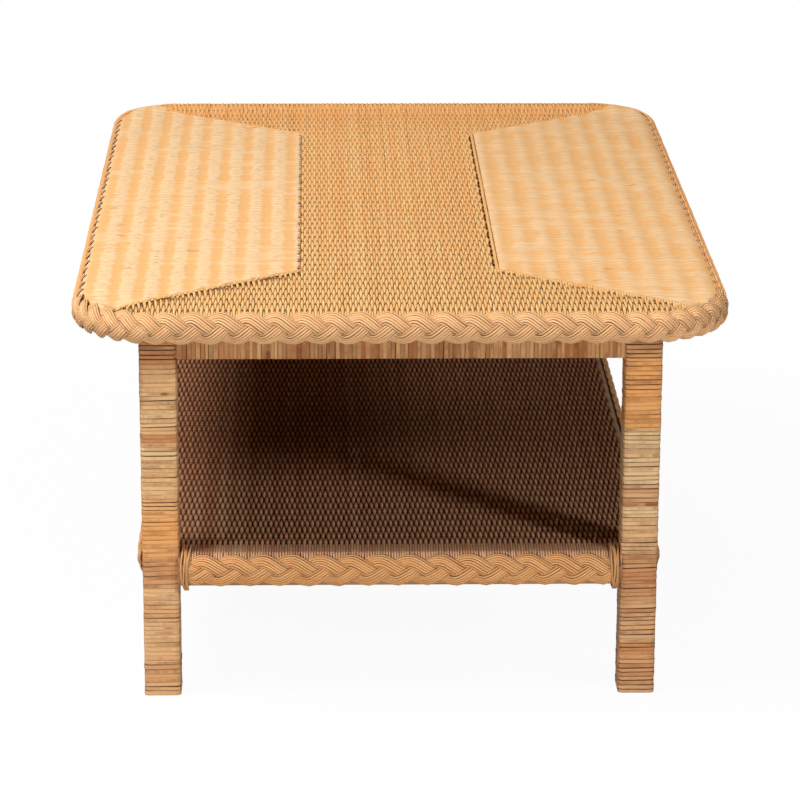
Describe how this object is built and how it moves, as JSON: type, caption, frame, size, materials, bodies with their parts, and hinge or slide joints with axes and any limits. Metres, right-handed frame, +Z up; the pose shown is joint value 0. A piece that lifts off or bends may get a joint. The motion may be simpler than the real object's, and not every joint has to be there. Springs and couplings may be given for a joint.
{
  "type": "rattan coffee table",
  "caption": "Low rectangular rattan table: woven top with trapezoid inlays and a plaited edge, bound square legs and a woven lower shelf.",
  "frame": {"origin": "on the floor under the middle of the tabletop", "axes": "+Z up, +Y along the table's length towards the far short end, +X to the right as seen from the near short end"},
  "size_m": [0.6998, 0.9998, 0.45],
  "materials": {
    "hardwood": "planed hardwood, bare",
    "plywood": "plywood, bare",
    "rattan_pole": "bent rattan pole, bare",
    "rattan_peel": "flat rattan peel, clear satin lacquer",
    "woven_core": "round rattan core in a plain weave, clear satin lacquer",
    "inlay_strip": "smooth flat rattan strip, clear lacquer",
    "plaited_reed": "round rattan reed, clear satin lacquer",
    "glide": "dark lacquered steel"
  },
  "bodies": {
    "root": {"leg_post_back_right": "hardwood", "leg_post_back_left": "hardwood", "leg_post_front_left": "hardwood", "leg_post_front_right": "hardwood", "leg_binding_back_right": "rattan_peel", "leg_binding_back_left": "rattan_peel", "leg_binding_front_left": "rattan_peel", "leg_binding_front_right": "rattan_peel", "leg_glide_back_right": "glide", "leg_glide_back_left": "glide", "leg_glide_front_left": "glide", "leg_glide_front_right": "glide", "apron_rail_front": "hardwood", "apron_rail_back": "hardwood", "apron_rail_left": "hardwood", "apron_rail_right": "hardwood", "apron_binding_front": "rattan_peel", "apron_binding_back": "rattan_peel", "apron_binding_left": "rattan_peel", "apron_binding_right": "rattan_peel", "top_bearer_front": "hardwood", "top_bearer_back": "hardwood", "top_board": "plywood", "edge_hoop": "rattan_pole", "edge_plait_ply_1": "plaited_reed", "edge_plait_ply_2": "plaited_reed", "edge_plait_ply_3": "plaited_reed", "woven_field": "woven_core", "inlay_left": "inlay_strip", "inlay_right": "inlay_strip", "seam_strip_left": "woven_core", "seam_strip_right": "woven_core", "shelf_rail_front": "hardwood", "shelf_rail_back": "hardwood", "shelf_rail_left": "hardwood", "shelf_rail_right": "hardwood", "shelf_slat_front": "hardwood", "shelf_slat_middle": "hardwood", "shelf_slat_back": "hardwood", "shelf_weave": "woven_core", "shelf_plait_front": "plaited_reed", "shelf_plait_back": "plaited_reed", "shelf_plait_left": "plaited_reed", "shelf_plait_right": "plaited_reed", "lashing_front_at_left": "plaited_reed", "lashing_front_at_right": "plaited_reed", "lashing_back_at_left": "plaited_reed", "lashing_back_at_right": "plaited_reed", "lashing_left_at_front": "plaited_reed", "lashing_left_at_back": "plaited_reed", "lashing_right_at_front": "plaited_reed", "lashing_right_at_back": "plaited_reed"}
  },
  "joints": []
}
